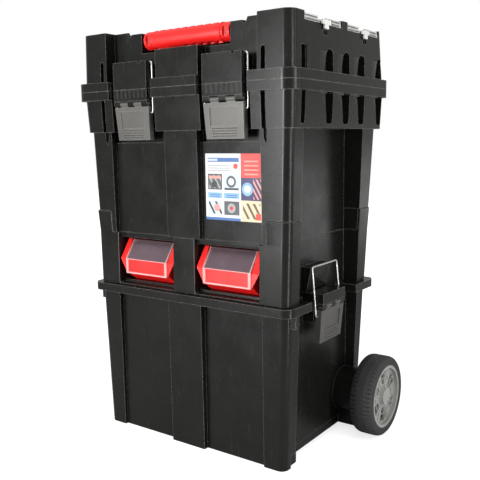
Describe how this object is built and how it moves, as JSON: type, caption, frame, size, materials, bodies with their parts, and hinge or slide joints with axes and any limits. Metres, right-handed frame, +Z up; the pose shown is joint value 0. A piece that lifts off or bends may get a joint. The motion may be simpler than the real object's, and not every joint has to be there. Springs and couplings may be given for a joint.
{
  "type": "stackable tool box system",
  "caption": "Rolling stack of a lidded tool box, a module with pull-out bins and a deep tub on wheels, held by wire latches, with a telescopic pull handle.",
  "frame": {"origin": "on the floor under the middle of the bounding box", "axes": "+X to the right as seen from the front, +Y from the front towards the pull handle, +Z up"},
  "size_m": [0.482, 0.3306, 0.64],
  "materials": {
    "black_plastic": "satin moulded polypropylene",
    "dark_trim": "matt moulded plastic",
    "grey_plastic": "satin warm grey plastic",
    "red_plastic": "glossy red plastic",
    "clear_plastic": "clear plastic, slightly grey",
    "bright_steel": "bright zinc plated wire and pins",
    "tyre": "hard black rubber",
    "rim_plastic": "light grey plastic",
    "label": "printed sticker",
    "black_metal": "black powder coat",
    "aluminium_tube": "drawn aluminium"
  },
  "bodies": {
    "tub": {"tub": "black_plastic", "lower_tube_bracket": "dark_trim", "upper_tube_bracket": "dark_trim", "bracket_screws": "bright_steel", "outer_tubes": "black_metal", "tube_collars": "dark_trim", "axle": "bright_steel", "axle_caps": "rim_plastic", "axle_washers": "bright_steel", "side_lever_pins": "bright_steel"},
    "wheel_right": {"tyre_right": "tyre", "wheel_rim_right": "rim_plastic"},
    "wheel_left": {"tyre_left": "tyre", "wheel_rim_left": "rim_plastic"},
    "pull_handle": {"inner_tubes": "aluminium_tube", "pull_grip": "dark_trim"},
    "release_button": {"release_button": "dark_trim"},
    "bins_module": {"bins_module": "black_plastic"},
    "bin_right": {"bin_right": "red_plastic"},
    "bin_left": {"bin_left": "red_plastic"},
    "bin_lid_right": {"bin_lid_right": "clear_plastic"},
    "bin_lid_left": {"bin_lid_left": "clear_plastic"},
    "toolbox_body": {"toolbox_body": "black_plastic", "lid_hinge_pins": "bright_steel", "label": "label", "front_lever_pins": "bright_steel"},
    "tool_tray": {"tool_tray": "black_plastic"},
    "toolbox_lid": {"toolbox_lid": "black_plastic", "carry_handle_pins": "bright_steel", "organiser_hinge_pins": "bright_steel"},
    "carry_handle": {"carry_handle": "red_plastic"},
    "side_lever_right": {"side_lever_right": "grey_plastic"},
    "side_bail_right": {"side_bail_right": "bright_steel"},
    "front_lever_right": {"front_lever_right": "grey_plastic"},
    "front_bail_right": {"front_bail_right": "bright_steel"},
    "side_lever_left": {"side_lever_left": "grey_plastic"},
    "side_bail_left": {"side_bail_left": "bright_steel"},
    "front_lever_left": {"front_lever_left": "grey_plastic"},
    "front_bail_left": {"front_bail_left": "bright_steel"},
    "organiser_lid_front_right": {"organiser_lid_front_right": "clear_plastic"},
    "organiser_clip_front_right": {"organiser_clip_front_right": "clear_plastic"},
    "organiser_lid_front_left": {"organiser_lid_front_left": "clear_plastic"},
    "organiser_clip_front_left": {"organiser_clip_front_left": "clear_plastic"},
    "organiser_lid_rear_right": {"organiser_lid_rear_right": "clear_plastic"},
    "organiser_clip_rear_right": {"organiser_clip_rear_right": "clear_plastic"},
    "organiser_lid_rear_left": {"organiser_lid_rear_left": "clear_plastic"},
    "organiser_clip_rear_left": {"organiser_clip_rear_left": "clear_plastic"}
  },
  "joints": [
    {"name": "wheel_right_spin", "type": "hinge", "parent": "tub", "child": "wheel_right", "pos_m": [0.22265, 0.059, 0.0638], "axis": [1, 0, 0], "continuous": true},
    {"name": "wheel_left_spin", "type": "hinge", "parent": "tub", "child": "wheel_left", "pos_m": [-0.22265, 0.059, 0.0638], "axis": [1, 0, 0], "continuous": true},
    {"name": "side_lever_right", "type": "hinge", "parent": "tub", "child": "side_lever_right", "pos_m": [0.193, -0.039, 0.23], "axis": [0, -1, 0], "range_deg": [0, 105]},
    {"name": "side_bail_right", "type": "hinge", "parent": "side_lever_right", "child": "side_bail_right", "pos_m": [0.18728, -0.039, 0.21594], "axis": [0, -1, 0], "range_deg": [-82, 0], "deforming": ["side_bail_right"]},
    {"name": "front_lever_right", "type": "hinge", "parent": "toolbox_body", "child": "front_lever_right", "pos_m": [0.087, -0.1585, 0.5293], "axis": [1, 0, 0], "range_deg": [-105, 0]},
    {"name": "front_bail_right", "type": "hinge", "parent": "front_lever_right", "child": "front_bail_right", "pos_m": [0.087, -0.15278, 0.51524], "axis": [1, 0, 0], "range_deg": [0, 82], "deforming": ["front_bail_right"]},
    {"name": "side_lever_left", "type": "hinge", "parent": "tub", "child": "side_lever_left", "pos_m": [-0.193, -0.039, 0.23], "axis": [0, 1, 0], "range_deg": [0, 105]},
    {"name": "side_bail_left", "type": "hinge", "parent": "side_lever_left", "child": "side_bail_left", "pos_m": [-0.18728, -0.039, 0.21594], "axis": [0, 1, 0], "range_deg": [-82, 0], "deforming": ["side_bail_left"]},
    {"name": "front_lever_left", "type": "hinge", "parent": "toolbox_body", "child": "front_lever_left", "pos_m": [-0.087, -0.1585, 0.5293], "axis": [1, 0, 0], "range_deg": [-105, 0]},
    {"name": "front_bail_left", "type": "hinge", "parent": "front_lever_left", "child": "front_bail_left", "pos_m": [-0.087, -0.15278, 0.51524], "axis": [1, 0, 0], "range_deg": [0, 82], "deforming": ["front_bail_left"]},
    {"name": "handle_telescope", "type": "slide", "parent": "tub", "child": "pull_handle", "axis": [0, 0, 1], "range_m": [0, 0.4]},
    {"name": "release_button", "type": "slide", "parent": "pull_handle", "child": "release_button", "axis": [0, 0, -1], "range_m": [0, 0.004], "stiffness_N_per_m": 300},
    {"name": "module_lift_off", "type": "slide", "parent": "tub", "child": "bins_module", "axis": [0, 0, 1], "range_m": [0, 0.12]},
    {"name": "toolbox_lift_off", "type": "slide", "parent": "bins_module", "child": "toolbox_body", "axis": [0, 0, 1], "range_m": [0, 0.15]},
    {"name": "bin_right_slide", "type": "slide", "parent": "bins_module", "child": "bin_right", "axis": [0, -1, 0], "range_m": [0, 0.15]},
    {"name": "bin_lid_right", "type": "hinge", "parent": "bin_right", "child": "bin_lid_right", "pos_m": [0.079, -0.1268, 0.3132], "axis": [1, 0, 0], "range_deg": [-55, 0]},
    {"name": "bin_left_slide", "type": "slide", "parent": "bins_module", "child": "bin_left", "axis": [0, -1, 0], "range_m": [0, 0.15]},
    {"name": "bin_lid_left", "type": "hinge", "parent": "bin_left", "child": "bin_lid_left", "pos_m": [-0.079, -0.1268, 0.3132], "axis": [1, 0, 0], "range_deg": [-55, 0]},
    {"name": "lid_hinge", "type": "hinge", "parent": "toolbox_body", "child": "toolbox_lid", "pos_m": [0, 0.141, 0.5508], "axis": [1, 0, 0], "range_deg": [-95, 0]},
    {"name": "tray_lift", "type": "slide", "parent": "toolbox_body", "child": "tool_tray", "axis": [0, 0, 1], "range_m": [0, 0.04]},
    {"name": "carry_handle", "type": "hinge", "parent": "toolbox_lid", "child": "carry_handle", "pos_m": [0, -0.091, 0.625], "axis": [1, 0, 0], "range_deg": [-90, 0]},
    {"name": "organiser_lid_front_right", "type": "hinge", "parent": "toolbox_lid", "child": "organiser_lid_front_right", "pos_m": [0.096, -0.069, 0.6317], "axis": [0, 1, 0], "range_deg": [-90, 0]},
    {"name": "organiser_clip_front_right", "type": "hinge", "parent": "organiser_lid_front_right", "child": "organiser_clip_front_right", "pos_m": [0.19, -0.069, 0.6317], "axis": [0, 1, 0], "range_deg": [-80, 0]},
    {"name": "organiser_lid_front_left", "type": "hinge", "parent": "toolbox_lid", "child": "organiser_lid_front_left", "pos_m": [-0.096, -0.069, 0.6317], "axis": [0, -1, 0], "range_deg": [-90, 0]},
    {"name": "organiser_clip_front_left", "type": "hinge", "parent": "organiser_lid_front_left", "child": "organiser_clip_front_left", "pos_m": [-0.19, -0.069, 0.6317], "axis": [0, -1, 0], "range_deg": [-80, 0]},
    {"name": "organiser_lid_rear_right", "type": "hinge", "parent": "toolbox_lid", "child": "organiser_lid_rear_right", "pos_m": [0.096, 0.055, 0.6317], "axis": [0, 1, 0], "range_deg": [-90, 0]},
    {"name": "organiser_clip_rear_right", "type": "hinge", "parent": "organiser_lid_rear_right", "child": "organiser_clip_rear_right", "pos_m": [0.19, 0.055, 0.6317], "axis": [0, 1, 0], "range_deg": [-80, 0]},
    {"name": "organiser_lid_rear_left", "type": "hinge", "parent": "toolbox_lid", "child": "organiser_lid_rear_left", "pos_m": [-0.096, 0.055, 0.6317], "axis": [0, -1, 0], "range_deg": [-90, 0]},
    {"name": "organiser_clip_rear_left", "type": "hinge", "parent": "organiser_lid_rear_left", "child": "organiser_clip_rear_left", "pos_m": [-0.19, 0.055, 0.6317], "axis": [0, -1, 0], "range_deg": [-80, 0]}
  ],
  "couplings": [
    {"joint": "side_bail_right", "follows": "side_lever_right", "ratio": -0.78},
    {"joint": "front_bail_right", "follows": "front_lever_right", "ratio": -0.78},
    {"joint": "side_bail_left", "follows": "side_lever_left", "ratio": -0.78},
    {"joint": "front_bail_left", "follows": "front_lever_left", "ratio": -0.78}
  ]
}
